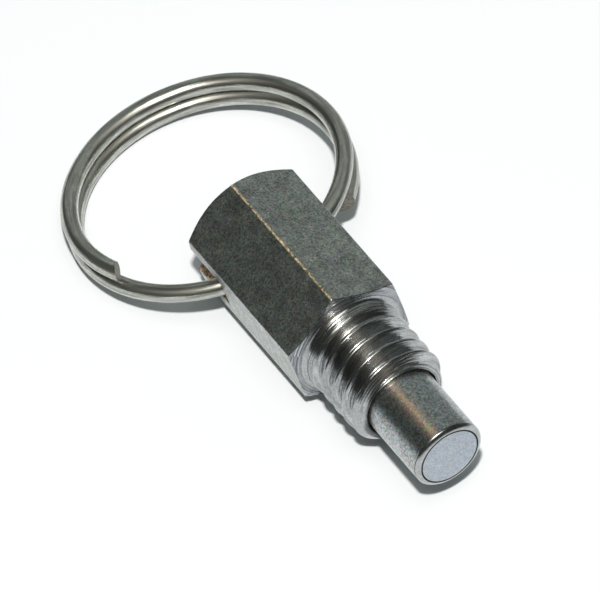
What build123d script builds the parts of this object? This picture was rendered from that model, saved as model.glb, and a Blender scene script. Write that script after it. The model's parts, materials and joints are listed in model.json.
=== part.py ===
"""Locking pin: a hand-pulled spring plunger with a split ring.

Four separate pieces: a hexagon body with a threaded nose, the plunger inside it, the
compression spring that pushes the plunger out, and the split ring that pulls it back.
The ring lies in a slot across the tail of the body, passes through a cross hole in the
plunger's stem, and so also keeps the plunger from falling out of the nose.

Frame: millimetres, +X along the axis towards the pin's free end, +Z up. The origin is the
centre of the shoulder face, where the hexagon ends and the thread starts. The pin lies as
it comes to rest on a table: rolled onto one corner of the hexagon and held by its ring.
"""
import os
from math import radians, sqrt, tan

from build123d import *

# Hexagon body, 7/16 inch across flats
HEX_FLATS = 11.11
HEX_LENGTH = 17.4
FRONT_FACE_RADIUS = 5.15
FRONT_CHAMFER_ANGLE = 17.0
REAR_FACE_RADIUS = 5.05
REAR_CHAMFER_ANGLE = 35.0

# Threaded nose, 3/8-16 UNC, drawn as a plain cylinder of the major diameter
THREAD_DIAMETER = 9.525
THREAD_LENGTH = 8.1
NOSE_CHAMFER = 0.75

# Stepped bore: wide for the pin and its spring, narrow for the stem
BORE_DIAMETER = 6.8
BORE_END = -9.3
BORE_MOUTH_CHAMFER = 0.2
STEM_BORE_DIAMETER = 4.9

# Slot across the tail, cut by a disc that leaves a rounded bottom
SLOT_WIDTH = 3.175
SLOT_SEAT_GAP = 0.03
SLOT_CUTTER_RADIUS = 15.0

# Plunger: the guide land runs in the bore, the pin in front of it is ground to size, and
# a relief groove for the grinding wheel parts them
GUIDE_DIAMETER = 6.74
RELIEF_DIAMETER = 6.2
RELIEF_WIDTH = 0.7
PIN_DIAMETER = 6.7
PIN_PROTRUSION = 7.5
PIN_SHOULDER = 2.5
TIP_CHAMFER_RADIAL = 0.45
TIP_CHAMFER_AXIAL = 0.3
STEM_DIAMETER = 4.76
STEM_END = -15.4
STEM_CHAMFER = 0.5
CROSS_HOLE_DIAMETER = 2.3

# Compression spring around the stem, its ends ground flat
SPRING_WIRE = 0.6
SPRING_MEAN_DIAMETER = 5.9
SPRING_TURNS = 6.5
SPRING_END_CLEARANCE = 0.02

# Split ring of round wire, wound 1.7 turns
RING_WIRE = 1.6
RING_MEAN_RADIUS = 12.36
RING_PITCH = 1.8
RING_LOWER_END = 42.0
RING_UPPER_END = -70.0
RING_HOLE_X = -11.6
RING_END_SLANT = 35.0

# Pose at rest. Angles are in degrees.
BODY_ROLL = 19.0
SLOT_SLOPE = 30.0
RING_SLOPE = 26.0
RING_DROOP = 10.26

HEX_CORNER_RADIUS = HEX_FLATS / sqrt(3)
PIN_END = THREAD_LENGTH + PIN_PROTRUSION
SLOT_BOTTOM = RING_HOLE_X + RING_WIRE / 2 + SLOT_SEAT_GAP


def turned(profile):
    """Solid of revolution about the X axis from (x, radius) points."""
    with BuildPart() as part:
        with BuildSketch(Plane.XY):
            with BuildLine():
                Polyline(*profile, close=True)
            make_face()
        revolve(axis=Axis.X)
    return part.part


def hexagon_bar():
    """Hexagon bar with its flats up and down and both ends turned to a chamfer."""
    with BuildPart() as part:
        with BuildSketch(Plane.YZ.offset(-HEX_LENGTH)):
            RegularPolygon(HEX_CORNER_RADIUS, 6)
        extrude(amount=HEX_LENGTH)
    reach = HEX_CORNER_RADIUS + 1.0
    front_drop = (reach - FRONT_FACE_RADIUS) * tan(radians(FRONT_CHAMFER_ANGLE))
    rear_drop = (reach - REAR_FACE_RADIUS) * tan(radians(REAR_CHAMFER_ANGLE))
    turning = turned([
        (-HEX_LENGTH, 0),
        (-HEX_LENGTH, REAR_FACE_RADIUS),
        (-HEX_LENGTH + rear_drop, reach),
        (-front_drop, reach),
        (0, FRONT_FACE_RADIUS),
        (0, 0),
    ])
    return part.part & turning


def threaded_nose():
    """Nose at the thread's major diameter, with a chamfered end."""
    radius = THREAD_DIAMETER / 2
    return turned([
        (-1, 0),
        (-1, radius),
        (THREAD_LENGTH - NOSE_CHAMFER, radius),
        (THREAD_LENGTH, radius - NOSE_CHAMFER),
        (THREAD_LENGTH, 0),
    ])


def stepped_bore():
    """Cavity of the body: pin and spring bore from the nose, stem bore out of the tail."""
    radius = BORE_DIAMETER / 2
    stem = STEM_BORE_DIAMETER / 2
    return turned([
        (-HEX_LENGTH - 1, 0),
        (-HEX_LENGTH - 1, stem),
        (BORE_END, stem),
        (BORE_END, radius),
        (THREAD_LENGTH - BORE_MOUTH_CHAMFER, radius),
        (THREAD_LENGTH + 1, radius + BORE_MOUTH_CHAMFER + 1),
        (THREAD_LENGTH + 1, 0),
    ])


def tail_slot():
    """Slot across two opposite flats, open at the tail, its bottom an arc of the disc cutter."""
    centre_x = SLOT_BOTTOM - SLOT_CUTTER_RADIUS
    with BuildPart() as part:
        with BuildSketch(Plane.XY):
            with Locations((centre_x, 0)):
                Circle(SLOT_CUTTER_RADIUS)
        extrude(amount=SLOT_WIDTH / 2, both=True)
    return Rot(X=SLOT_SLOPE) * part.part


def body():
    """Hexagon body with the threaded nose, the stepped bore and the ring slot."""
    return hexagon_bar() + threaded_nose() - stepped_bore() - tail_slot()


def plunger():
    """Guided pin with a chamfered tip, and a slimmer stem that is cross drilled for the ring."""
    guide = GUIDE_DIAMETER / 2
    relief = RELIEF_DIAMETER / 2
    pin = PIN_DIAMETER / 2
    stem = STEM_DIAMETER / 2
    turning = turned([
        (STEM_END, 0),
        (STEM_END, stem - STEM_CHAMFER),
        (STEM_END + STEM_CHAMFER, stem),
        (PIN_SHOULDER, stem),
        (PIN_SHOULDER, guide),
        (THREAD_LENGTH - RELIEF_WIDTH, guide),
        (THREAD_LENGTH - RELIEF_WIDTH, relief),
        (THREAD_LENGTH, relief),
        (THREAD_LENGTH, pin),
        (PIN_END - TIP_CHAMFER_AXIAL, pin),
        (PIN_END, pin - TIP_CHAMFER_RADIAL),
        (PIN_END, 0),
    ])
    drill = Cylinder(CROSS_HOLE_DIAMETER / 2, 2 * STEM_DIAMETER)
    return turning - Pos(RING_HOLE_X, 0, 0) * Rot(X=RING_SLOPE - 90) * drill


def round_wire(diameter, radius, pitch, turns):
    """Round wire wound as a right-hand helix about Z, upwards from the XY plane."""
    path = Helix(pitch=pitch, height=pitch * turns, radius=radius)
    profile = Plane(origin=path @ 0, z_dir=path % 0) * Circle(diameter / 2)
    return sweep(profile, path=path, is_frenet=True)


def spring():
    """Compression spring on the stem, between the bore's end and the pin's shoulder."""
    start = BORE_END + SPRING_END_CLEARANCE
    length = PIN_SHOULDER - SPRING_END_CLEARANCE - start
    coil = round_wire(SPRING_WIRE, SPRING_MEAN_DIAMETER / 2, length / SPRING_TURNS, SPRING_TURNS)
    ground = Pos(0, 0, length / 2) * Cylinder(SPRING_MEAN_DIAMETER, length)
    return Pos(start, 0, 0) * Rot(Y=90) * (coil & ground)


def split_ring():
    """Round wire wound as a flat helix, its single stretch through the stem's cross hole."""
    turns = 2 - (RING_LOWER_END - RING_UPPER_END) / 360
    height = RING_PITCH * turns
    wire = round_wire(RING_WIRE, RING_MEAN_RADIUS, RING_PITCH, turns)
    block = Box(2 * RING_WIRE, 2 * RING_WIRE, RING_PITCH)
    lower = Pos(RING_MEAN_RADIUS, 0, 0) * Rot(Z=RING_END_SLANT) * Pos(0, -RING_WIRE, 0) * block
    upper = Pos(RING_MEAN_RADIUS, 0, 0) * Rot(Z=RING_END_SLANT) * Pos(0, RING_WIRE, 0) * block
    cut = wire - lower - Rot(Z=360 * turns) * Pos(0, 0, height) * upper
    centred = Pos(-RING_MEAN_RADIUS, 0, -height / 2) * Rot(Z=RING_LOWER_END) * cut
    return Pos(RING_HOLE_X, 0, 0) * Rot(X=RING_SLOPE) * Rot(Y=-RING_DROOP) * centred


os.makedirs("parts", exist_ok=True)
PIECES = {
    "hex_body": body(),
    "plunger": plunger(),
    "spring": spring(),
    "split_ring": split_ring(),
}
for name, solid in PIECES.items():
    export_step(Rot(X=-BODY_ROLL) * solid, f"parts/{name}.step")
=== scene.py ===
"""Dressed model of a hand-pulled locking pin: hexagon body, plunger, spring and split ring.

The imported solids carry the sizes, the joints and the collision. This file gives each of the
four pieces its finished surface: a cut thread with its run-out, turning marks on the shoulder,
broken edges, a milled slot, ground pin, wound spring and polished ring.

Sizes are in mm, and angles in degrees unless a docstring says otherwise. Each piece is built
square to the axes, with +X towards the pin's free end, and then rolled into its pose.
"""
import json
import logging
import math
from dataclasses import dataclass
from enum import Enum
from typing import Callable, Iterable, Sequence

import bmesh
import bpy
import numpy as np
from bpy.types import Material, Node, NodeSocket, NodeTree, Object
from mathutils import Matrix, Vector


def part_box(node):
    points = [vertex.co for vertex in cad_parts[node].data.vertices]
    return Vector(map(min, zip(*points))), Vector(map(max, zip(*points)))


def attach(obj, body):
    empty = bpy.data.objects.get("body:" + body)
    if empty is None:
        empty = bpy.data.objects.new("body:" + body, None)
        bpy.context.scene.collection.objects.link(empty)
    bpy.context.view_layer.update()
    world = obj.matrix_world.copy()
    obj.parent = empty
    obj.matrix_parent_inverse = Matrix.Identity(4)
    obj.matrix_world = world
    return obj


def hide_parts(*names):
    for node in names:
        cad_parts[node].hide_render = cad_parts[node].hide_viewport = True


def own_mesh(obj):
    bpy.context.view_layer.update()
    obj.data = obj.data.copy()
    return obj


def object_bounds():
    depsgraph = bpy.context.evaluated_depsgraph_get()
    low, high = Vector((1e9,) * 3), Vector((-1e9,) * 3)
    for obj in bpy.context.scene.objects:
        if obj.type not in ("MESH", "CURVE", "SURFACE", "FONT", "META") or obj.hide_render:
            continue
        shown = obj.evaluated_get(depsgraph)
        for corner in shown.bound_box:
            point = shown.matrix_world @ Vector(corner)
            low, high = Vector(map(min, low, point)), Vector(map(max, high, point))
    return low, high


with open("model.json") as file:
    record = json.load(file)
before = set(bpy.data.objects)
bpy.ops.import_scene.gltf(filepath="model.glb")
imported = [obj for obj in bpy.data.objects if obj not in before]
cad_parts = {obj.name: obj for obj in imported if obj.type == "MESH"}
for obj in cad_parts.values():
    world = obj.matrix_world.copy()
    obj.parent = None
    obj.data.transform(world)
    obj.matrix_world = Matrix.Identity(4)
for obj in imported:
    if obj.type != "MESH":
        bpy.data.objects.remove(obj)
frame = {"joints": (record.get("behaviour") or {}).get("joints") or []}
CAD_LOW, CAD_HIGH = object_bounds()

MM = 0.001
BODY_ROLL = -19.0
WELD_DISTANCE = 0.002
BLOTCH_SIZE = 1.3
DARKEST_SHADE = 0.05
LOG = logging.getLogger("locking_pin")


def span_along_axis(node: str) -> tuple[float, float]:
    """Places along X, in mm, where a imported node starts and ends."""
    low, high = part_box(node)
    return round(low.x / MM, 3), round(high.x / MM, 3)


BODY_SPAN = span_along_axis("hex_body")
PLUNGER_SPAN = span_along_axis("plunger")
SPRING_SPAN = span_along_axis("spring")
RING_HINGE = next(joint["pos_m"] for joint in frame["joints"] if joint["name"] == "ring_swing")
RING_HINGE_X = round(RING_HINGE[0] / MM, 3)


class Body(Enum):
    """The three rigid bodies that the pieces ride on."""

    HOUSING = "body"
    PLUNGER = "plunger"
    RING = "ring"


class Slot(Enum):
    """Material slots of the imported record."""

    BODY = "plated_body"
    PIN = "plated_pin"
    SPRING = "spring_wire"
    RING = "polished_ring"


def roll_matrix() -> Matrix:
    """Turns a piece built square to the axes into the body's pose at rest."""
    return Matrix.Rotation(math.radians(BODY_ROLL), 4, "X")


def smoothstep(value: np.ndarray, low: float, high: float) -> np.ndarray:
    """Rises smoothly from 0 at low to 1 at high.

    Args:
        value: Numbers to map.
        low: Where the rise starts.
        high: Where the rise ends.

    Returns:
        The mapped numbers.
    """
    share = np.clip((value - low) / (high - low), 0.0, 1.0)
    return share * share * (3.0 - 2.0 * share)


def fillet(
    before: np.ndarray, corner: np.ndarray, after: np.ndarray, radius: float, steps: int
) -> list[np.ndarray]:
    """Rounds one corner of a polyline, for many profiles at once.

    Args:
        before: Points before the corner, one row for each profile.
        corner: The corners.
        after: Points after the corner.
        radius: Distance from the corner at which the rounding starts.
        steps: Number of spans in the rounding.

    Returns:
        The rounded points, from the side of before to the side of after.
    """
    to_before = before - corner
    to_after = after - corner
    to_before /= np.linalg.norm(to_before, axis=1, keepdims=True)
    to_after /= np.linalg.norm(to_after, axis=1, keepdims=True)
    start = corner + to_before * radius
    end = corner + to_after * radius
    points = []
    for step in range(steps + 1):
        t = step / steps
        points.append((1 - t) ** 2 * start + 2 * t * (1 - t) * corner + t * t * end)
    return points


def grid_faces(rows: int, columns: int, closed_rows: bool) -> np.ndarray:
    """Quads between neighbouring rows of a grid whose columns run round the axis.

    Args:
        rows: Number of rows.
        columns: Number of columns, closed on themselves.
        closed_rows: True if the last row joins the first.

    Returns:
        One line of four vertex numbers for each quad.
    """
    here = np.arange(rows * columns).reshape(rows, columns)
    beside = np.roll(here, -1, axis=1)
    quads = np.stack((here, beside, np.roll(beside, -1, axis=0), np.roll(here, -1, axis=0)), axis=-1)
    return (quads if closed_rows else quads[:-1]).reshape(-1, 4)


def around_axis(stations: np.ndarray, radii: np.ndarray, angles: np.ndarray) -> np.ndarray:
    """Places points round the X axis.

    Args:
        stations: Place along X of each point, rows by columns.
        radii: Distance from the axis of each point.
        angles: Angle of each column, in radians from +Y.

    Returns:
        An array of rows * columns points.
    """
    y = radii * np.cos(angles)[None, :]
    z = radii * np.sin(angles)[None, :]
    return np.stack((stations, y, z), axis=-1).reshape(-1, 3)


def shade(piece: Object, sharp_degrees: float) -> None:
    """Smooths a piece's faces and keeps its sharp edges.

    Args:
        piece: The piece.
        sharp_degrees: Edges that turn by more than this stay sharp.
    """
    mesh = piece.data
    mesh.polygons.foreach_set("use_smooth", [True] * len(mesh.polygons))
    mesh.set_sharp_from_angle(angle=math.radians(sharp_degrees))
    mesh.update()


def mesh_object(name: str, points: np.ndarray, faces: Iterable[Sequence[int]]) -> Object:
    """Makes a mesh object.

    Args:
        name: Name of the piece.
        points: Vertex places, one row each.
        faces: Vertex numbers of each face.

    Returns:
        The new object.
    """
    mesh = bpy.data.meshes.new(name)
    mesh.from_pydata((points * MM).tolist(), [], [list(map(int, face)) for face in faces])
    mesh.validate()
    piece = bpy.data.objects.new(name, mesh)
    bpy.context.scene.collection.objects.link(piece)
    return piece


def weld(piece: Object) -> None:
    """Joins vertices that lie on each other, drops collapsed faces and turns the rest outwards.

    Args:
        piece: The piece, a closed shell.
    """
    shell = bmesh.new()
    shell.from_mesh(piece.data)
    bmesh.ops.remove_doubles(shell, verts=shell.verts, dist=WELD_DISTANCE * MM)
    bmesh.ops.recalc_face_normals(shell, faces=shell.faces)
    shell.to_mesh(piece.data)
    shell.free()


def round_cutter(
    name: str, centre_x: float, radius: float, half: Vector, slope: float, count: int
) -> Object:
    """Builds a disc or a drill for a cut square to the X axis.

    Args:
        name: Name of the cutter.
        centre_x: Place of its axis along X.
        radius: Its radius.
        half: Half of its thickness, along +Y or +Z.
        slope: Turn about X.
        count: Number of points round it.

    Returns:
        The cutter.
    """
    angles = np.linspace(0, 2 * math.pi, count, endpoint=False)
    sideways = np.array([0.0, half.z > 0, half.y > 0])
    circle = radius * np.sin(angles)[:, None] * sideways
    circle[:, 0] = centre_x + radius * np.cos(angles)
    points = np.concatenate((circle - np.array(half), circle + np.array(half)))
    faces = [[i, (i + 1) % count, (i + 1) % count + count, i + count] for i in range(count)]
    faces.append(list(range(count))[::-1])
    faces.append(list(range(count, 2 * count)))
    cutter = mesh_object(name, points, faces)
    weld(cutter)
    cutter.data.transform(Matrix.Rotation(math.radians(slope), 4, "X"))
    return cutter


def reach_from_axis(place: Vector) -> float:
    """Distance of a place from the X axis."""
    return math.hypot(place.y, place.z)


def add_map(piece: Object, turn: np.ndarray, along: np.ndarray) -> None:
    """Gives a piece a map that runs round it and along it.

    Args:
        piece: The piece.
        turn: Share of a full turn of each vertex.
        along: Distance along the piece of each vertex.
    """
    mesh = piece.data
    layer = mesh.uv_layers.new(name="turning")
    corner_vertex = np.zeros(len(mesh.loops), int)
    mesh.loops.foreach_get("vertex_index", corner_vertex)
    u = turn[corner_vertex]
    v = along[corner_vertex]
    for polygon in mesh.polygons:
        corners = list(polygon.loop_indices)
        if u[corners].max() - u[corners].min() > 0.5:
            u[corners] = np.where(u[corners] < 0.5, u[corners] + 1.0, u[corners])
    layer.data.foreach_set("uv", np.stack((u, v), axis=-1).ravel())


def map_turned(piece: Object, along: Callable[[np.ndarray, np.ndarray], np.ndarray]) -> None:
    """Maps a turned piece round its axis and along its profile.

    Args:
        piece: The piece, still square to the axes.
        along: Gives the distance along the profile from places along X and radii.
    """
    places = np.zeros(len(piece.data.vertices) * 3)
    piece.data.vertices.foreach_get("co", places)
    x, y, z = (places.reshape(-1, 3) / MM).T
    add_map(piece, np.arctan2(z, y) / (2 * math.pi) + 0.5, along(x, np.hypot(y, z)))


class Nodes:
    """Short hand for building one shader node tree."""

    def __init__(self, tree: NodeTree) -> None:
        """Starts with an empty tree."""
        self.tree = tree
        tree.nodes.clear()

    def add(self, kind: str, inputs: dict[str | int, object] | None = None, **settings: object) -> Node:
        """Adds a node.

        Args:
            kind: Type of the node.
            inputs: What each input gets, by name or number: an output to join, or a value.
            **settings: Properties of the node.

        Returns:
            The new node.
        """
        node = self.tree.nodes.new(kind)
        for name, setting in settings.items():
            setattr(node, name, setting)
        for name, value in (inputs or {}).items():
            if isinstance(value, NodeSocket):
                self.tree.links.new(value, node.inputs[name])
            else:
                node.inputs[name].default_value = value
        return node

    def math(self, operation: str, first: object, second: object) -> NodeSocket:
        """Output of a math node whose inputs are outputs or numbers."""
        return self.add("ShaderNodeMath", {0: first, 1: second}, operation=operation).outputs[0]

    def vector(self, operation: str, inputs: dict[str | int, object]) -> NodeSocket:
        """Vector output of a vector math node."""
        return self.add("ShaderNodeVectorMath", inputs, operation=operation).outputs[0]

    def noise(self, vector: NodeSocket, scale: float, detail: float, roughness: float) -> NodeSocket:
        """Adds a noise texture.

        Args:
            vector: Where the texture is read.
            scale: Cells in each unit of length.
            detail: Number of finer layers.
            roughness: Strength of each finer layer.

        Returns:
            The noise, from 0 to 1.
        """
        settings = {"Vector": vector, "Scale": scale, "Detail": detail, "Roughness": roughness}
        return self.add("ShaderNodeTexNoise", settings).outputs["Fac"]

    def swing(self, value: NodeSocket, amount: float) -> NodeSocket:
        """Maps 0 to 1 onto 1 - amount to 1 + amount."""
        limits = {"To Min": 1 - amount, "To Max": 1 + amount, "Value": value}
        return self.add("ShaderNodeMapRange", limits).outputs["Result"]

    def bump(self, height: NodeSocket, depth: float, base: NodeSocket | None = None) -> NodeSocket:
        """Turns a height from 0 to 1 into a bumped normal.

        Args:
            height: The height.
            depth: Depth of the full height.
            base: Normal to start from.

        Returns:
            The bumped normal.
        """
        inputs = {"Strength": 1.0, "Distance": depth * MM, "Height": height}
        if base is not None:
            inputs["Normal"] = base
        return self.add("ShaderNodeBump", inputs).outputs["Normal"]


@dataclass(frozen=True)
class Lay:
    """Tool marks that run round a turned or ground piece.

    Pitch is the width of a mark and around is how often it changes in a turn. Depth is its
    depth, and lines is how much painted shade and painted highlight follow the marks: the colour
    is darkened in their hollows and brightened on their ridges. Share is the part of the light
    that the marks smear along the piece, into a streak of the given colour; across and along are
    the streak's spreads, and sparkle is the part of its colour that changes at random from grain
    to grain.
    """

    pitch: float
    depth: float
    share: float
    color: tuple[float, float, float]
    around: float = 5.0
    across: float = 0.08
    along: float = 0.30
    sparkle: float = 0.0
    lines: float = 0.0


@dataclass(frozen=True)
class MetalFinish:
    """Bare or plated metal with blotches, grains and perhaps a lay of tool marks.

    Blotch, grain and tint are shares of the colour.
    """

    name: str
    color: tuple[float, float, float]
    roughness: float
    blotch: float = 0.10
    grain: float = 0.15
    tint: float = 0.05
    grain_size: float = 0.14
    grain_depth: float = 0.003
    lay: Lay | None = None

    def material(self) -> Material:
        """Builds the finish as a node material.

        Returns:
            The new material.
        """
        material = bpy.data.materials.new(self.name)
        material.use_nodes = True
        nodes = Nodes(material.node_tree)
        place = nodes.add("ShaderNodeTexCoord").outputs["Object"]
        grains = nodes.add("ShaderNodeTexVoronoi", {"Vector": place, "Scale": 1 / (self.grain_size * MM)})
        cells = grains.outputs["Color"]
        marks = self._marks(nodes)
        grit = nodes.noise(place, 1 / (self.grain_size * MM), detail=2.0, roughness=0.6)
        normal = nodes.bump(grit, self.grain_depth)
        if marks is not None:
            normal = nodes.bump(marks, self.lay.depth, normal)
        surface = nodes.add("ShaderNodeBsdfPrincipled", {
            "Metallic": 1.0,
            "Roughness": self.roughness,
            "Base Color": self._colour(nodes, place, cells, marks),
            "Normal": normal,
        }).outputs["BSDF"]
        if self.lay is not None:
            surface = self._streaked(nodes, surface, normal, cells)
        nodes.add("ShaderNodeOutputMaterial", {"Surface": surface})
        material.diffuse_color = (*self.color, 1.0)
        material.metallic = 1.0
        material.roughness = self.roughness
        return material

    def _marks(self, nodes: Nodes) -> NodeSocket | None:
        """Draws the tool marks.

        Args:
            nodes: Tree of the material.

        Returns:
            Height of the marks from 0 to 1, or None for a finish without them.
        """
        if self.lay is None:
            return None
        turning = nodes.add("ShaderNodeUVMap", uv_map="turning").outputs["UV"]
        stretch = (self.lay.around, 1 / self.lay.pitch, 1.0)
        place = nodes.vector("MULTIPLY", {0: turning, 1: stretch})
        return nodes.noise(place, 1.0, detail=3.0, roughness=0.6)

    def _colour(
        self, nodes: Nodes, place: NodeSocket, cells: NodeSocket, marks: NodeSocket | None
    ) -> NodeSocket:
        """Varies the colour by blotches, grains and a trace of hue, and paints shade and highlight along the
        tool marks.

        Args:
            nodes: Tree of the material.
            place: Place on the piece.
            cells: Random colour of each grain.
            marks: Height of the tool marks.

        Returns:
            The colour.
        """
        blotches = nodes.noise(place, 1 / (BLOTCH_SIZE * MM), detail=4.0, roughness=0.65)
        blotch = nodes.swing(blotches, 3 * self.blotch)
        specks = nodes.add("ShaderNodeTexWhiteNoise", {"Vector": cells}, noise_dimensions="3D")
        scale = nodes.math("MULTIPLY", blotch, nodes.swing(specks.outputs["Value"], self.grain))
        # Painted shade and painted highlight along the tool marks: darker in their hollows, lighter on their
        # ridges.
        if marks is not None:
            scale = nodes.math("MULTIPLY", scale, nodes.swing(marks, self.lay.lines))
        hue = nodes.vector("MULTIPLY_ADD", {0: cells, 1: (2 * self.tint,) * 3, 2: (1 - self.tint,) * 3})
        tinted = nodes.vector("MULTIPLY", {0: hue, 1: self.color})
        return nodes.vector("SCALE", {0: tinted, "Scale": nodes.math("MAXIMUM", scale, DARKEST_SHADE)})

    def _streaked(
        self, nodes: Nodes, plain: NodeSocket, normal: NodeSocket, cells: NodeSocket
    ) -> NodeSocket:
        """Mixes in the light that the tool marks smear along the piece.

        Args:
            nodes: Tree of the material.
            plain: Shader of the plain surface.
            normal: Bumped normal.
            cells: Random colour of each grain.

        Returns:
            The mixed shader's output.
        """
        lay = self.lay
        middle = math.sqrt(lay.across * lay.along)
        tangent = nodes.add("ShaderNodeTangent", direction_type="UV_MAP", uv_map="turning")
        sparkle = nodes.vector("MULTIPLY_ADD", {
            0: cells,
            1: tuple(2 * lay.sparkle * part for part in lay.color),
            2: tuple((1 - lay.sparkle) * part for part in lay.color),
        })
        smear = nodes.add("ShaderNodeBsdfAnisotropic", {
            "Roughness": math.sqrt(middle),
            "Anisotropy": 1 - lay.across / middle,
            "Tangent": tangent.outputs["Tangent"],
            "Normal": normal,
            "Color": sparkle,
        }).outputs["BSDF"]
        return nodes.add("ShaderNodeMixShader", {"Fac": lay.share, 1: plain, 2: smear}).outputs[0]


class Finish(Enum):
    """The finishes of all pieces."""

    DRAWN_FLATS = MetalFinish(
        "drawn_flats", (0.36, 0.382, 0.365), roughness=0.37, blotch=0.24, grain=0.42, tint=0.16,
        grain_size=0.13, grain_depth=0.020,
    )
    # Tan on the one corner that faces the key light: partly wear, partly a painted warm highlight.
    WORN_EDGE_AND_PAINTED_HIGHLIGHT = MetalFinish(
        "worn_edge_with_painted_highlight", (0.46, 0.38, 0.26), roughness=0.58, blotch=0.32, grain=0.75, tint=0.12,
        grain_size=0.18, grain_depth=0.024,
    )
    BROKEN_EDGES = MetalFinish(
        "broken_edges", (0.42, 0.42, 0.44), roughness=0.30, grain=0.35, tint=0.08,
        grain_size=0.16, grain_depth=0.006,
    )
    TURNED_SHOULDER = MetalFinish(
        "turned_shoulder", (0.27, 0.285, 0.30), roughness=0.13, blotch=0.06, grain=0.10, tint=0.03,
        grain_depth=0.002, lay=Lay(pitch=0.14, depth=0.060, share=0.06, color=(0.95, 0.95, 0.98), lines=2.6),
    )
    CUT_THREAD = MetalFinish(
        "cut_thread", (0.33, 0.347, 0.36), roughness=0.14, blotch=0.08, tint=0.04,
        lay=Lay(pitch=0.13, depth=0.030, share=0.06, color=(0.95, 0.86, 0.76), lines=1.2),
    )
    # Near-black painted shade inside the bore's mouth.
    BORE_IN_PAINTED_SHADE = MetalFinish("bore_in_painted_shade", (0.05, 0.05, 0.05), roughness=0.45)
    MILLED_SLOT = MetalFinish(
        "milled_slot", (0.46, 0.34, 0.26), roughness=0.50, blotch=0.20, grain=0.60, tint=0.18,
        grain_size=0.20, grain_depth=0.030,
    )
    GROUND_PIN = MetalFinish(
        "ground_pin", (0.35, 0.385, 0.40), roughness=0.31, blotch=0.05, grain=0.48, tint=0.12,
        grain_size=0.15, grain_depth=0.011,
        lay=Lay(pitch=0.10, depth=0.003, share=0.05, color=(0.95, 0.72, 0.46), along=0.60, sparkle=0.35),
    )
    TIP_BEAD = MetalFinish(
        "tip_bead", (0.42, 0.43, 0.43), roughness=0.18, blotch=0.05, tint=0.03,
        grain_size=0.12, grain_depth=0.002,
    )
    PIN_FACE = MetalFinish(
        "pin_face", (0.38, 0.415, 0.46), roughness=0.25, blotch=0.03, grain=0.16, tint=0.08,
        grain_size=0.15, grain_depth=0.004,
    )
    # Near-black painted shade in the pin's grooves and relief, and a painted dark reflection on the stem's
    # chamfer.
    EDGE_LINE_IN_PAINTED_SHADE = MetalFinish("edge_line_in_painted_shade", (0.04, 0.04, 0.035), roughness=0.5)
    STEM_END = MetalFinish(
        "stem_end", (0.42, 0.27, 0.17), roughness=0.45, blotch=0.15, grain=0.50, tint=0.10,
        grain_size=0.18, grain_depth=0.020,
    )
    SPRING_WIRE = MetalFinish("spring_wire", (0.30, 0.30, 0.31), roughness=0.35)
    POLISHED_WIRE = MetalFinish(
        "polished_wire", (0.29, 0.305, 0.28), roughness=0.10, blotch=0.12, grain=0.30, tint=0.07,
        grain_depth=0.004,
        lay=Lay(
            pitch=4.0, depth=0.026, share=0.20, color=(0.88, 0.86, 0.79), around=20.0,
            across=0.13, along=0.20, lines=2.2,
        ),
    )
    SHEARED_END = MetalFinish(
        "sheared_end", (0.25, 0.235, 0.20), roughness=0.5, grain=0.35, tint=0.08,
        grain_size=0.16, grain_depth=0.015,
    )


def dress(piece: Object, finishes: Sequence[Finish], choose: Callable[[Vector, Vector], Finish]) -> None:
    """Gives each face of a piece one of several finishes.

    Args:
        piece: The piece, still square to the axes.
        finishes: The finishes, in the order of the piece's materials.
        choose: Gives the finish from a face's centre and its normal.
    """
    for finish in finishes:
        piece.data.materials.append(finish.value.material())
    for polygon in piece.data.polygons:
        polygon.material_index = finishes.index(choose(polygon.center / MM, polygon.normal))


def cut_away(piece: Object, cutter: Object, finish: Finish) -> None:
    """Cuts a cutter's volume out of a piece and throws the cutter away.

    Args:
        piece: The piece that is cut.
        cutter: The closed mesh that cuts it.
        finish: Finish of the cut faces.
    """
    cutter.data.materials.append(finish.value.material())
    cut = piece.modifiers.new("cut", "BOOLEAN")
    cut.operation = "DIFFERENCE"
    cut.solver = "EXACT"
    cut.material_mode = "TRANSFER"
    cut.object = cutter
    graph = bpy.context.evaluated_depsgraph_get()
    mesh = bpy.data.meshes.new_from_object(piece.evaluated_get(graph))
    piece.modifiers.clear()
    piece.data = mesh
    bpy.data.objects.remove(cutter)


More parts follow.
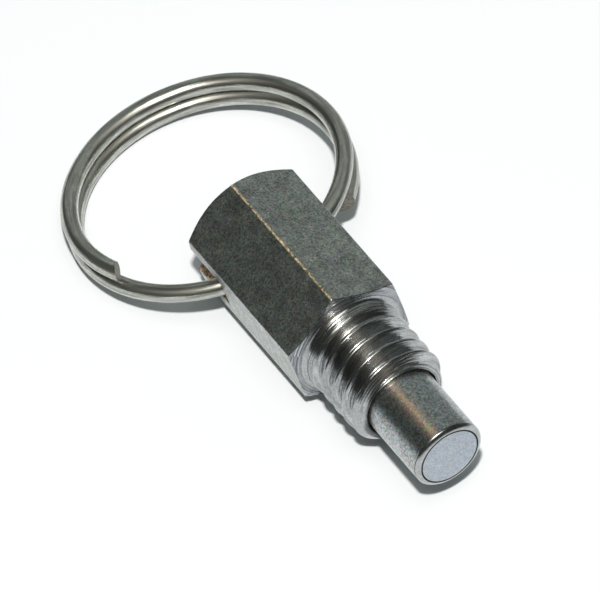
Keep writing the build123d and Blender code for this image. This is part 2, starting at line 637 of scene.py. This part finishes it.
@dataclass(frozen=True)
class HexBarrel:
    """Hexagon barrel with its turned ends, stepped bore and ring slot."""

    flats: float = 11.11
    length: float = -BODY_SPAN[0]
    corner_break: float = 0.22
    front_face_radius: float = 5.15
    front_angle: float = 17.0
    rear_face_radius: float = 5.05
    rear_angle: float = 35.0
    edge_rounding: float = 0.10
    face_rounding: float = 0.06
    stem_bore_radius: float = 2.45
    bore_radius: float = 3.4
    bore_end: float = -9.3
    slot_width: float = 3.175
    slot_bottom: float = -10.77
    slot_cutter_radius: float = 15.0
    slot_slope: float = 30.0
    slot_points: int = 240
    mark_height: float = 0.020
    mark_widths: tuple[float, float] = (0.27, 0.15)
    mark_margins: tuple[float, float] = (0.08, 0.12)
    mark_rows: int = 40
    # Turn of the corner that faces the key light; it gets the tan of wear and painted highlight.
    highlit_worn_corner: float = 120.0
    turned_lean: float = 0.25
    flat_degrees: float = 1.5
    tail_rings: tuple[float, ...] = (4.0, 3.0)
    stem_bore_ring: float = -14.0
    bore_rings: tuple[float, ...] = (-5.0, -1.0)
    bar_rows: int = 60
    columns_per_flat: int = 26
    corner_steps: int = 5
    sharp_degrees: float = 28.0

    def outline(self) -> tuple[np.ndarray, np.ndarray]:
        """Draws the outline of the bar with its corners broken.

        Returns:
            Radii, and angles in radians, column by column.
        """
        apothem = self.flats / 2
        centre = (apothem - self.corner_break) / math.cos(math.radians(30))
        half_side = apothem / math.sqrt(3) - self.corner_break * math.tan(math.radians(30))
        support = 0.05
        places = np.linspace(-half_side + support, half_side - support, self.columns_per_flat)
        places = np.concatenate(([-half_side], places, [half_side]))
        points = []
        for side in range(6):
            normal = math.radians(30 + 60 * side)
            for place in places:
                points.append((
                    apothem * math.cos(normal) - place * math.sin(normal),
                    apothem * math.sin(normal) + place * math.cos(normal),
                ))
            corner = normal + math.radians(30)
            for step in range(1, self.corner_steps + 1):
                turn = normal + math.radians(60 * step / (self.corner_steps + 1))
                points.append((
                    centre * math.cos(corner) + self.corner_break * math.cos(turn),
                    centre * math.sin(corner) + self.corner_break * math.sin(turn),
                ))
        y, z = np.array(points).T
        return np.hypot(y, z), np.arctan2(z, y)

    def shell(self) -> Object:
        """Builds the barrel as a closed shell with its bore.

        Returns:
            The barrel, still square to the axes.
        """
        radius, angle = self.outline()
        count = len(radius)

        def station(x: np.ndarray | float, r: np.ndarray | float) -> np.ndarray:
            """One profile point for every column."""
            return np.stack((np.broadcast_to(x, count), np.broadcast_to(r, count)), axis=-1).astype(float)

        front_slope = math.tan(math.radians(self.front_angle))
        rear_slope = math.tan(math.radians(self.rear_angle))
        mouth = station(0.0, self.bore_radius)
        front = station(0.0, self.front_face_radius)
        front_edge = station(-(radius - self.front_face_radius) * front_slope, radius)
        rear_edge = station(-self.length + (radius - self.rear_face_radius) * rear_slope, radius)
        rear = station(-self.length, self.rear_face_radius)
        tail = station(-self.length, self.stem_bore_radius)

        rows = [mouth]
        rows += fillet(mouth, front, front_edge, self.face_rounding, 3)
        rows += self.turning_marks(front, front_edge)
        rows += fillet(front, front_edge, rear_edge, self.edge_rounding, 4)
        for share in np.linspace(0.01, 0.99, self.bar_rows):
            rows.append(front_edge * (1 - share) + rear_edge * share)
        rows += fillet(front_edge, rear_edge, rear, self.edge_rounding, 4)
        rows += fillet(rear_edge, rear, tail, self.edge_rounding, 4)
        rows += [station(-self.length, reach) for reach in self.tail_rings] + [tail]
        rows += [station(x, self.stem_bore_radius) for x in (self.stem_bore_ring, self.bore_end)]
        rows += [station(x, self.bore_radius) for x in (self.bore_end, *self.bore_rings)]
        profile = np.stack(rows)
        points = around_axis(profile[..., 0], profile[..., 1], angle)
        return mesh_object("hex_barrel", points, grid_faces(len(rows), count, True))

    def turning_marks(self, front: np.ndarray, edge: np.ndarray) -> list[np.ndarray]:
        """Cuts the tool's feed marks into the front cone.

        Args:
            front: Profile points where the cone starts.
            edge: Profile points where the cone meets the bar.

        Returns:
            The rows between those two.
        """
        lean = math.radians(self.front_angle)
        normal = np.array([math.cos(lean), math.sin(lean)])
        along = (edge - front) / np.linalg.norm(edge - front, axis=1, keepdims=True)
        start, end = front + self.mark_margins[0] * along, edge - self.mark_margins[1] * along
        coarse, fine = self.mark_widths
        rows = []
        for share in np.linspace(0, 1, self.mark_rows):
            base = start * (1 - share) + end * share
            reach = base[:, 1:2] - self.front_face_radius
            wave = np.sin(reach * 2 * math.pi / coarse) + 0.4 * np.sin(reach * 2 * math.pi / fine + 1.0)
            rows.append(base + normal * self.mark_height * wave * smoothstep(reach, 0.10, 0.30))
        return rows

    def slot_cutter(self) -> Object:
        """Builds the disc that the slot is milled with.

        Returns:
            The cutter.
        """
        centre = self.slot_bottom - self.slot_cutter_radius
        half = Vector((0, 0, self.slot_width / 2))
        return round_cutter(
            "slot_cutter", centre, self.slot_cutter_radius, half, self.slot_slope, self.slot_points
        )

    def finish(self, place: Vector, normal: Vector) -> Finish:
        """Tells the flats, the corners and the turned ends apart.

        Args:
            place: Centre of a face.
            normal: Its normal.

        Returns:
            The face's finish.
        """
        if abs(normal.x) > self.turned_lean:
            return Finish.TURNED_SHOULDER
        turn = math.degrees(math.atan2(normal.z, normal.y)) % 360
        in_bore = reach_from_axis(place) < self.flats / 2 - 0.5
        if in_bore or abs(turn % 60 - 30) < self.flat_degrees:
            return Finish.DRAWN_FLATS
        # The corner that faces the key light gets the tan finish: partly wear, partly a painted highlight.
        return Finish.WORN_EDGE_AND_PAINTED_HIGHLIGHT if abs(turn - self.highlit_worn_corner) < 30 else Finish.BROKEN_EDGES

    def build(self) -> Object:
        """Builds and dresses the barrel.

        Returns:
            The barrel.
        """
        barrel = self.shell()
        weld(barrel)
        finishes = (Finish.DRAWN_FLATS, Finish.BROKEN_EDGES, Finish.WORN_EDGE_AND_PAINTED_HIGHLIGHT, Finish.TURNED_SHOULDER)
        dress(barrel, finishes, self.finish)
        cut_away(barrel, self.slot_cutter(), Finish.MILLED_SLOT)
        shade(barrel, self.sharp_degrees)
        map_turned(barrel, lambda x, radius: radius)
        barrel.data.transform(roll_matrix())
        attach(barrel, Body.HOUSING.value)
        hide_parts("hex_body")
        return barrel


@dataclass(frozen=True)
class ThreadedNose:
    """Nose with a right-hand 60 degree thread, its run-out, an end chamfer and the bore's mouth."""

    radius: float = 4.7625
    length: float = BODY_SPAN[1]
    pitch: float = 1.5875
    depth: float = 1.0
    crest_width: float = 0.20
    crest_rounding: float = 0.10
    root_rounding: float = 0.07
    crest_place: float = 2.45
    crest_angle: float = 125.0
    run_out_start: float = 0.7
    run_out_end: float = 2.3
    shoulder_fillet: float = 0.45
    chamfer: float = 0.75
    bore_radius: float = 3.4
    mouth_radius: float = 3.54
    mouth_depth: float = 0.6
    mouth_break: float = 0.07
    hidden_start: float = -0.4
    hidden_radius: float = 4.6
    ripple: float = 0.011
    rows_per_turn: int = 60
    columns: int = 240
    sharp_degrees: float = 38.0

    def turn_profile(self) -> tuple[np.ndarray, np.ndarray]:
        """Draws the thread's profile over one pitch, from crest to crest, in even steps.

        Returns:
            Places along the axis and depths below the crest.
        """
        half_crest = self.crest_width / 2
        flank = self.depth * math.tan(math.radians(30))
        corners = [
            (-half_crest, 0.0), (half_crest, 0.0), (half_crest + flank, self.depth),
            (self.pitch - half_crest - flank, self.depth), (self.pitch - half_crest, 0.0),
            (self.pitch + half_crest, 0.0),
        ]
        roundings = (self.crest_rounding, self.root_rounding, self.root_rounding, self.crest_rounding)
        points = []
        for before, corner, after, rounding in zip(corners[:-2], corners[1:-1], corners[2:], roundings):
            ends = (np.array([end], float) for end in (before, corner, after))
            points += [tuple(point[0]) for point in fillet(*ends, rounding, 4)]
        line = np.array(sorted(points))
        reach = np.concatenate(([0.0], np.cumsum(np.linalg.norm(np.diff(line, axis=0), axis=1))))
        even = np.linspace(0.0, reach[-1], self.rows_per_turn, endpoint=False)
        return np.interp(even, reach, line[:, 0]), np.interp(even, reach, line[:, 1])

    def chatter(self, x: np.ndarray, share: float, turns: np.ndarray) -> np.ndarray:
        """Draws the marks that the threading tool leaves along the profile.

        Args:
            x: Places along the axis.
            share: Place on the profile, from 0 at one crest to 1 at the next.
            turns: Turns of the thread up to each point.

        Returns:
            Depths that fade out at both ends of the nose.
        """
        coarse = np.sin(20 * math.pi * share + 3 * turns)
        fine = np.sin(34 * math.pi * share - 5 * turns + 1)
        wave = 1.5 + (coarse + 0.5 * fine) * (0.7 + 0.3 * np.sin(7 * turns))
        return self.ripple * wave * smoothstep(x, 0.05, 0.30) * smoothstep(self.length - x, 0.05, 0.30)

    def ridged(self, x: np.ndarray, depth: np.ndarray) -> np.ndarray:
        """Fits the full thread to the nose's run-out, shoulder fillet and end chamfer.

        Args:
            x: Places along the axis.
            depth: Depth of the full thread there.

        Returns:
            Radii of the nose.
        """
        radius = self.radius - depth * smoothstep(x, self.run_out_start, self.run_out_end)
        inside = np.clip(self.shoulder_fillet - x, 0.0, None)
        radius += self.shoulder_fillet - np.sqrt(self.shoulder_fillet**2 - inside**2)
        return np.minimum(radius, self.radius - self.chamfer + self.length - x)

    def winding(self, turn: np.ndarray) -> tuple[list[np.ndarray], list[np.ndarray]]:
        """Lays rows round the nose that wind with the thread.

        Args:
            turn: Share of a full turn of each column.

        Returns:
            Stations and radii, row by row.
        """
        start = self.crest_place - self.pitch * self.crest_angle / 360
        first_turn = -math.ceil(start / self.pitch) - 2
        last_turn = math.ceil((self.length - start) / self.pitch) + 1
        places, depths = self.turn_profile()
        end_depth = np.interp(self.length - start - self.pitch * turn, places, depths, period=self.pitch)
        stations, radii = [], []
        for number in range(first_turn, last_turn):
            for row, (place, depth) in enumerate(zip(places, depths)):
                reach = start + place + self.pitch * (number + turn)
                x = np.clip(reach, 0.0, self.length)
                share = row / self.rows_per_turn
                ridged = self.ridged(x, np.where(reach > self.length, end_depth, depth))
                stations.append(x)
                radii.append(ridged - self.chatter(x, share, number + turn + share))
        return stations, radii

    def mouth(self) -> list[tuple[float, float]]:
        """Draws the end face and the bore's mouth, back to where the shell closes.

        Returns:
            Places along the axis and radii.
        """
        step = self.length - self.mouth_depth
        return [
            (self.length, self.radius - self.depth - 0.04),
            (self.length, self.mouth_radius + self.mouth_break),
            (self.length - 0.02, self.mouth_radius + 0.02),
            (self.length - self.mouth_break, self.mouth_radius),
            (step, self.mouth_radius),
            (step, self.bore_radius),
            (0.2, self.bore_radius),
            (self.hidden_start, self.bore_radius + 0.6),
        ]

    def finish(self, place: Vector, _normal: Vector) -> Finish:
        """Tells the outside from the bore, which is painted near black as shade."""
        in_bore = reach_from_axis(place) < self.mouth_radius + 0.005
        return Finish.BORE_IN_PAINTED_SHADE if in_bore else Finish.CUT_THREAD

    def build(self) -> Object:
        """Builds and dresses the nose.

        Returns:
            The nose.
        """
        turn = np.linspace(0, 1, self.columns + 1)
        stations, radii = self.winding(turn)
        stations.insert(0, np.full(len(turn), self.hidden_start))
        radii.insert(0, np.full(len(turn), self.hidden_radius))
        for place, radius in self.mouth():
            stations.append(np.full(len(turn), place))
            radii.append(np.full(len(turn), radius))
        points = around_axis(np.stack(stations), np.stack(radii), turn * 2 * math.pi)
        faces = grid_faces(len(stations), len(turn), True)
        faces = faces[np.arange(len(faces)) % len(turn) != len(turn) - 1]
        nose = mesh_object("threaded_nose", points, faces)
        weld(nose)
        dress(nose, (Finish.CUT_THREAD, Finish.BORE_IN_PAINTED_SHADE), self.finish)
        shade(nose, self.sharp_degrees)
        map_turned(nose, lambda x, radius: x + radius)
        nose.data.transform(roll_matrix())
        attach(nose, Body.HOUSING.value)
        return nose


@dataclass(frozen=True)
class Plunger:
    """Ground pin with a chamfered tip, and the slimmer cross-drilled stem behind it."""

    guide_radius: float = 3.37
    guide_end: float = BODY_SPAN[1]
    relief_radius: float = 3.1
    relief_width: float = 0.5
    relief_depth: float = 0.35
    pin_radius: float = 3.35
    pin_end: float = PLUNGER_SPAN[1]
    shoulder: float = 2.5
    chamfer_axial: float = 0.30
    chamfer_radial: float = 0.45
    bead_fullness: float = 0.45
    edge_groove: float = 0.04
    edge_rounding: float = 0.05
    stem_radius: float = 2.38
    stem_end: float = PLUNGER_SPAN[0]
    stem_chamfer: float = 0.5
    hole_radius: float = 1.15
    hole_slope: float = 26.0
    hole_points: int = 64
    longest_span: float = 0.5
    columns: int = 192
    sharp_degrees: float = 24.0

    @property
    def chamfer_start(self) -> float:
        """Place where the tip's chamfer starts."""
        return self.pin_end - self.chamfer_axial

    @property
    def face_radius(self) -> float:
        """Radius of the flat end face."""
        return self.pin_radius - self.chamfer_radial

    def corners(self) -> list[tuple[float, float, float]]:
        """Lists the corners of the profile from tail to tip.

        Returns:
            Place along the axis, radius and rounding of each corner.
        """
        groove = self.edge_groove
        relief_end = self.guide_end - self.relief_depth
        relief_start = relief_end - self.relief_width
        return [
            (self.stem_end, 0.0, 0.0),
            (self.stem_end, self.stem_radius - self.stem_chamfer, self.edge_rounding),
            (self.stem_end + self.stem_chamfer, self.stem_radius, self.edge_rounding),
            (self.shoulder, self.stem_radius, 0.0),
            (self.shoulder, self.guide_radius, self.edge_rounding),
            (relief_start, self.guide_radius, 0.0),
            (relief_start, self.relief_radius, 0.0),
            (relief_end, self.relief_radius, 0.0),
            (relief_end, self.pin_radius, 0.0),
            (self.chamfer_start - 2 * groove, self.pin_radius, 0.0),
            (self.chamfer_start - groove, self.pin_radius - groove, 0.0),
            (self.chamfer_start, self.pin_radius, 0.0),
            *self.bead(),
            (self.pin_end, self.face_radius, 0.0),
            (self.pin_end - 1.5 * groove, self.face_radius - 1.5 * groove, 0.0),
            (self.pin_end, self.face_radius - 4 * groove, 0.0),
            (self.pin_end, 0.0, 0.0),
        ]

    def bead(self) -> list[tuple[float, float, float]]:
        """Rounds the tip's chamfer into a bead.

        Returns:
            Corners of the profile between the chamfer's two ends.
        """
        start = Vector((self.chamfer_start, self.pin_radius))
        end = Vector((self.pin_end, self.face_radius))
        bulge = ((start + end) / 2).lerp(Vector((self.pin_end, self.pin_radius)), self.bead_fullness)
        points = []
        for share in np.linspace(0.1, 0.9, 9):
            point = start.lerp(bulge, share).lerp(bulge.lerp(end, share), share)
            points.append((point.x, point.y, 0.0))
        return points

    def profile(self) -> np.ndarray:
        """Rounds the profile's corners and parts its long spans.

        Returns:
            Places along the axis and radii, one row each.
        """
        corners = self.corners()
        points = [np.array([corners[0][:2]])]
        for before, (x, r, rounding), after in zip(corners[:-2], corners[1:-1], corners[2:]):
            here = np.array([[x, r]])
            if rounding > 0:
                points += fillet(np.array([before[:2]]), here, np.array([after[:2]]), rounding, 4)
            else:
                points.append(here)
        points.append(np.array([corners[-1][:2]]))
        line = np.concatenate(points)
        rows = []
        for start, end in zip(line[:-1], line[1:]):
            spans = max(1, int(np.linalg.norm(end - start) / self.longest_span))
            rows += [start + (end - start) * step / spans for step in range(spans)]
        rows.append(line[-1])
        return np.array(rows)

    def shell(self) -> Object:
        """Builds the plunger as a closed shell.

        Returns:
            The plunger, still square to the axes.
        """
        line = self.profile()
        inner = line[1:-1]
        angles = np.linspace(0, 2 * math.pi, self.columns, endpoint=False)
        stations, radii = (np.repeat(part[:, None], self.columns, 1) for part in inner.T)
        points = around_axis(stations, radii, angles)
        faces = grid_faces(len(inner), self.columns, False).tolist()
        tail, tip = len(points), len(points) + 1
        points = np.concatenate((points, [[line[0, 0], 0, 0], [line[-1, 0], 0, 0]]))
        last = (len(inner) - 1) * self.columns
        for column in range(self.columns):
            following = (column + 1) % self.columns
            faces.append([tail, following, column])
            faces.append([tip, last + column, last + following])
        return mesh_object("plunger_pin", points, faces)

    def drill(self) -> Object:
        """Builds the drill for the ring's cross hole.

        Returns:
            The drill.
        """
        half = Vector((0, 2 * self.stem_radius, 0))
        return round_cutter(
            "drill", RING_HINGE_X, self.hole_radius, half, self.hole_slope, self.hole_points
        )

    def finish(self, place: Vector, _normal: Vector) -> Finish:
        """Tells the ground surface, the end faces, the tip and the near-black lines of painted shade apart.

        Args:
            place: Centre of a face.
            _normal: Its normal, which makes no difference here.

        Returns:
            The face's finish.
        """
        radius = reach_from_axis(place)
        if place.x > self.pin_end - 2 * self.edge_groove and radius < self.face_radius:
            # The groove round the end face is painted near black as shade.
            in_face = radius < self.face_radius - 4 * self.edge_groove
            return Finish.PIN_FACE if in_face else Finish.EDGE_LINE_IN_PAINTED_SHADE
        if place.x > self.chamfer_start:
            return Finish.TIP_BEAD
        if place.x > self.chamfer_start - 2 * self.edge_groove:
            # The groove before the bead is painted near black as shade.
            return Finish.EDGE_LINE_IN_PAINTED_SHADE
        if place.x < self.stem_end + self.stem_chamfer:
            in_tail = radius < self.stem_radius - self.stem_chamfer
            # The stem's chamfer gets the near-black finish as a painted dark reflection.
            return Finish.STEM_END if in_tail else Finish.EDGE_LINE_IN_PAINTED_SHADE
        in_relief = self.shoulder < place.x < self.guide_end and radius < self.relief_radius + 0.01
        # The relief under the nose's mouth is painted near black as shade.
        return Finish.EDGE_LINE_IN_PAINTED_SHADE if in_relief else Finish.GROUND_PIN

    def build(self) -> Object:
        """Builds and dresses the plunger.

        Returns:
            The plunger.
        """
        piece = self.shell()
        weld(piece)
        finishes = (
            Finish.GROUND_PIN, Finish.PIN_FACE, Finish.EDGE_LINE_IN_PAINTED_SHADE, Finish.TIP_BEAD, Finish.STEM_END
        )
        dress(piece, finishes, self.finish)
        cut_away(piece, self.drill(), Finish.MILLED_SLOT)
        shade(piece, self.sharp_degrees)
        map_turned(piece, lambda x, radius: x - radius)
        piece.data.transform(roll_matrix())
        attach(piece, Body.PLUNGER.value)
        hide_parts("plunger")
        return piece


@dataclass(frozen=True)
class Path:
    """Centre line of a wire: its points, and its direction and outward side at each."""

    centres: np.ndarray
    tangents: np.ndarray
    outward: np.ndarray

    def tube(self, radius: float, sides: int) -> np.ndarray:
        """Lays a round wire along the path.

        Args:
            radius: Radius of the wire.
            sides: Points round the wire.

        Returns:
            Points, one row of sides for each point of the path.
        """
        sideways = np.cross(self.tangents, self.outward)
        turn = np.linspace(0, 2 * math.pi, sides, endpoint=False)
        offsets = (
            self.outward[:, None, :] * np.cos(turn)[None, :, None]
            + sideways[:, None, :] * np.sin(turn)[None, :, None]
        )
        return self.centres[:, None, :] + radius * offsets


@dataclass(frozen=True)
class Coil:
    """A right-hand helix about Z that starts at an angle and a height."""

    radius: float
    pitch: float
    turns: float
    start_degrees: float
    start_height: float
    steps_per_turn: int

    def path(self) -> Path:
        """Winds the coil.

        Returns:
            The coil's centre line.
        """
        steps = int(self.turns * self.steps_per_turn) + 1
        turn = np.linspace(0, 2 * math.pi * self.turns, steps)
        angle = turn + math.radians(self.start_degrees)
        rise = self.pitch / (2 * math.pi)
        cosine, sine = np.cos(angle), np.sin(angle)
        outward = np.stack((cosine, sine, np.zeros(steps)), axis=-1)
        centres = outward * self.radius
        centres[:, 2] = self.start_height + turn * rise
        tangents = np.stack((-sine * self.radius, cosine * self.radius, np.full(steps, rise)), axis=-1)
        tangents /= np.linalg.norm(tangents, axis=1, keepdims=True)
        return Path(centres, tangents, outward)


@dataclass(frozen=True)
class Spring:
    """Compression spring round the stem, with its end turns ground flat."""

    wire_radius: float = 0.3
    mean_radius: float = 2.95
    turns: float = 6.5
    start: float = SPRING_SPAN[0]
    length: float = round(SPRING_SPAN[1] - SPRING_SPAN[0], 3)
    solid_share: float = 0.36
    sides: int = 16
    steps_per_turn: int = 48
    sharp_degrees: float = 40.0

    def build(self) -> Object:
        """Builds and dresses the spring.

        Returns:
            The spring.
        """
        pitch = self.length / self.turns
        path = Coil(self.mean_radius, pitch, self.turns, 0.0, 0.0, self.steps_per_turn).path()
        tube = path.tube(self.wire_radius, self.sides)
        tube[..., 2] = np.clip(tube[..., 2], 0.0, self.length)
        rows = len(tube)
        faces = grid_faces(rows, self.sides, False).tolist()
        faces.append(list(range(self.sides))[::-1])
        faces.append(list(range((rows - 1) * self.sides, rows * self.sides)))
        piece = mesh_object("return_spring", tube.reshape(-1, 3), faces)
        shade(piece, self.sharp_degrees)
        piece.data.transform(
            roll_matrix()
            @ Matrix.Translation((self.start * MM, 0, 0))
            @ Matrix.Rotation(math.radians(90), 4, "Y")
        )
        piece.data.materials.append(Finish.SPRING_WIRE.value.material())
        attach(piece, Body.HOUSING.value)
        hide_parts("spring")
        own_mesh(piece)
        return piece


@dataclass(frozen=True)
class SplitRing:
    """Round wire wound 1.7 turns, with both ends cut on a slant."""

    wire_radius: float = 0.8
    mean_radius: float = 12.36
    pitch: float = 1.8
    lower_end: float = 42.0
    upper_end: float = -70.0
    slope: float = 26.0
    droop: float = 10.26
    end_slant: float = 35.0
    slanted_rows: int = 14
    cap_shares: tuple[float, float] = (0.96, 0.5)
    sides: int = 40
    steps_per_turn: int = 300
    sharp_degrees: float = 35.0

    def slant_end(self, tube: np.ndarray, path: Path, end: int, inward: int) -> None:
        """Shears the last rows of the wire so that its end lies on a slanted plane.

        Args:
            tube: Points of the wire, changed in place.
            path: Centre line of the wire.
            end: Number of the end row.
            inward: Step from the end row into the wire.
        """
        slope = math.tan(math.radians(self.end_slant))
        for step in range(self.slanted_rows):
            row = end + inward * step
            share = 1 - step / self.slanted_rows
            lean = (tube[row] - path.centres[row]) @ path.outward[row]
            tube[row] += path.tangents[row] * (lean * slope * share)[:, None]

    def cap(self, points: np.ndarray, faces: list[list[int]], first: int, reverse: bool) -> np.ndarray:
        """Closes one end of the wire with a slightly broken edge.

        Args:
            points: All points so far.
            faces: All faces so far, to which the cap's are added.
            first: Number of the end row's first point.
            reverse: True at the start of the wire.

        Returns:
            The points with the cap's added.
        """
        rim = points[first:first + self.sides]
        centre = rim.mean(axis=0)
        rings = [centre + (rim - centre) * share for share in self.cap_shares]
        added_numbers = len(points) + np.arange(len(rings) * self.sides)
        number = np.concatenate((first + np.arange(self.sides), added_numbers))
        added = number[grid_faces(1 + len(rings), self.sides, False)].tolist()
        added.append(number[-self.sides:].tolist())
        faces += [face[::-1] if reverse else face for face in added]
        return np.concatenate((points, *rings))

    def build(self) -> Object:
        """Builds and dresses the ring.

        Returns:
            The ring.
        """
        turns = 2 - (self.lower_end - self.upper_end) / 360
        start = -self.pitch * turns / 2
        path = Coil(self.mean_radius, self.pitch, turns, self.lower_end, start, self.steps_per_turn).path()
        tube = path.tube(self.wire_radius, self.sides)
        rows = len(tube)
        self.slant_end(tube, path, 0, 1)
        self.slant_end(tube, path, rows - 1, -1)
        faces = grid_faces(rows, self.sides, False).tolist()
        side_faces = len(faces)
        points = self.cap(tube.reshape(-1, 3), faces, 0, True)
        points = self.cap(points, faces, (rows - 1) * self.sides, False)
        piece = mesh_object("pull_ring", points, faces)
        shade(piece, self.sharp_degrees)
        number = np.arange(len(points))
        step = 2 * math.pi * self.mean_radius / self.steps_per_turn
        add_map(piece, number % self.sides / self.sides, np.minimum(number // self.sides, rows) * step)
        piece.data.transform(
            roll_matrix()
            @ Matrix.Translation((RING_HINGE_X * MM, 0, 0))
            @ Matrix.Rotation(math.radians(self.slope), 4, "X")
            @ Matrix.Rotation(math.radians(-self.droop), 4, "Y")
            @ Matrix.Translation((-self.mean_radius * MM, 0, 0))
        )
        for finish in (Finish.POLISHED_WIRE, Finish.SHEARED_END):
            piece.data.materials.append(finish.value.material())
        for polygon in piece.data.polygons:
            polygon.material_index = int(polygon.index >= side_faces)
        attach(piece, Body.RING.value)
        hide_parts("split_ring")
        return piece


@dataclass(frozen=True)
class SoftPatch:
    """Softly edged round patch of light in the surroundings."""

    name: str
    direction: tuple[float, float, float]
    inner_degrees: float
    outer_degrees: float
    color: tuple[float, float, float]

    def add_to(self, nodes: Nodes, direction: NodeSocket, below: NodeSocket) -> NodeSocket:
        """Adds the patch's light to what is there already.

        Args:
            nodes: Tree of the surroundings.
            direction: Direction that is looked in.
            below: Colour so far.

        Returns:
            The colour with the patch's light added.
        """
        middle = Vector(self.direction).normalized()
        facing = nodes.add(
            "ShaderNodeVectorMath", {0: direction, 1: middle}, operation="DOT_PRODUCT", label=self.name
        )
        edge = nodes.add("ShaderNodeMapRange", {
            "From Min": math.cos(math.radians(self.outer_degrees)),
            "From Max": math.cos(math.radians(self.inner_degrees)),
            "Value": facing.outputs["Value"],
        }, interpolation_type="SMOOTHSTEP")
        return nodes.vector("MULTIPLY_ADD", {0: edge.outputs["Result"], 1: self.color, 2: below})


@dataclass(frozen=True)
class Studio:
    """Floor, small key light and the room around them. The floor's sizes are in metres."""

    floor_color: tuple[float, float, float] = (0.574, 0.60, 0.637)
    floor_roughness: float = 0.9
    floor_size: float = 3.0
    # Painted pool of light on the floor: its colour fades to painted shade between the two radii below.
    far_shade: float = 0.15
    pale_radius: float = 0.045
    far_radius: float = 0.100
    key_direction: tuple[float, float, float] = (0.5, -0.25, 1.0)
    key_distance: float = 1.5
    key_degrees: float = 3.0
    key_irradiance: float = 4.8
    key_color: tuple[float, float, float] = (1.0, 0.955, 0.90)
    room_color: tuple[float, float, float] = (0.040, 0.048, 0.043)
    patches: tuple[SoftPatch, ...] = (
        SoftPatch("pale wall behind", (-0.59, 0.70, 0.40), 42.0, 60.0, (0.27, 0.29, 0.28)),
        SoftPatch("pale ceiling", (0.32, -0.16, 0.93), 16.0, 26.0, (2.3, 2.4, 2.2)),
    )

    def build(self) -> None:
        """Builds the floor, the key light and the surroundings."""
        self.floor()
        self.key()
        self.surroundings()

    def floor(self) -> None:
        """Lays the pale floor under the object."""
        half = self.floor_size / 2
        level = CAD_LOW.z
        corners = [(-half, -half, level), (half, -half, level), (half, half, level), (-half, half, level)]
        mesh = bpy.data.meshes.new("floor")
        mesh.from_pydata(corners, [], [[0, 1, 2, 3]])
        floor = bpy.data.objects.new("floor", mesh)
        bpy.context.scene.collection.objects.link(floor)
        mesh.materials.append(self.painted_light_pool())

    def painted_light_pool(self) -> Material:
        """Makes the pale floor with a painted pool of light: its colour falls off into painted shade away
        from the object.

        Returns:
            The floor's material.
        """
        material = bpy.data.materials.new("floor_with_painted_light_pool")
        material.use_nodes = True
        nodes = Nodes(material.node_tree)
        centre = (CAD_LOW + CAD_HIGH) / 2
        reach = nodes.add("ShaderNodeVectorMath", {
            0: nodes.add("ShaderNodeTexCoord").outputs["Object"],
            1: (centre.x, centre.y, CAD_LOW.z),
        }, operation="DISTANCE")
        # Painted pool of light: the floor's colour is darkened away from the object as painted shade.
        painted_light_falloff = nodes.add("ShaderNodeMapRange", {
            "From Min": self.pale_radius,
            "From Max": self.far_radius,
            "To Min": 1.0,
            "To Max": self.far_shade,
            "Value": reach.outputs["Value"],
        }, interpolation_type="SMOOTHSTEP")
        shader = nodes.add("ShaderNodeBsdfPrincipled", {
            "Roughness": self.floor_roughness,
            "Specular IOR Level": 0.2,
            "Base Color": nodes.vector("SCALE", {0: self.floor_color, "Scale": painted_light_falloff.outputs["Result"]}),
        })
        nodes.add("ShaderNodeOutputMaterial", {"Surface": shader.outputs["BSDF"]})
        return material

    def key(self) -> None:
        """Hangs the key light above the camera's line of sight."""
        light = bpy.data.lights.new("key", "AREA")
        light.shape = "DISK"
        light.size = 2 * self.key_distance * math.tan(math.radians(self.key_degrees / 2))
        light.energy = self.key_irradiance * math.pi * self.key_distance**2
        light.color = self.key_color
        key = bpy.data.objects.new("key", light)
        direction = Vector(self.key_direction).normalized()
        key.location = (CAD_LOW + CAD_HIGH) / 2 + direction * self.key_distance
        key.rotation_euler = direction.to_track_quat("Z", "Y").to_euler()
        bpy.context.scene.collection.objects.link(key)

    def surroundings(self) -> None:
        """Gives the room its dim shade and its soft patches of light."""
        world = bpy.data.worlds.new("room")
        bpy.context.scene.world = world
        world.use_nodes = True
        nodes = Nodes(world.node_tree)
        direction = nodes.add("ShaderNodeTexCoord").outputs["Generated"]
        light = nodes.add("ShaderNodeCombineXYZ", dict(zip("XYZ", self.room_color))).outputs[0]
        for patch in self.patches:
            light = patch.add_to(nodes, direction, light)
        background = nodes.add("ShaderNodeBackground", {"Color": light})
        nodes.add("ShaderNodeOutputWorld", {"Surface": background.outputs[0]})


@dataclass(frozen=True)
class Camera:
    """Long lens that looks down on the pin from the front right."""

    aim: tuple[float, float, float] = (-7.962, -0.326, -1.666)
    azimuth: float = 62.62
    elevation: float = 49.64
    roll: float = -6.75
    distance: float = 1061.4
    lens: float = 736.1
    sensor: float = 36.0

    def build(self) -> None:
        """Makes the scene's camera."""
        data = bpy.data.cameras.new("camera")
        data.sensor_width = self.sensor
        data.lens = self.lens
        data.clip_end = 10.0
        camera = bpy.data.objects.new("camera", data)
        turn, rise = math.radians(self.azimuth), math.radians(self.elevation)
        back = Vector((math.sin(turn) * math.cos(rise), -math.cos(turn) * math.cos(rise), math.sin(rise)))
        camera.location = (Vector(self.aim) + back * self.distance) * MM
        facing = back.to_track_quat("Z", "Y").to_matrix()
        tilt = Matrix.Rotation(math.radians(self.roll), 3, "Z")
        camera.rotation_euler = (facing @ tilt).to_euler()
        bpy.context.scene.collection.objects.link(camera)
        bpy.context.scene.camera = camera


def main() -> None:
    """Builds the pieces, the studio and the camera."""
    logging.basicConfig(level=logging.INFO, format="%(name)s %(message)s")
    for part in (HexBarrel(), ThreadedNose(), Plunger(), Spring(), SplitRing()):
        piece = part.build()
        LOG.info("%s: %d faces", piece.name, len(piece.data.polygons))
    Studio().build()
    Camera().build()
    view = bpy.context.scene.view_settings
    view.view_transform = "Standard"
    view.look = "None"


if __name__ == "__main__":
    main()
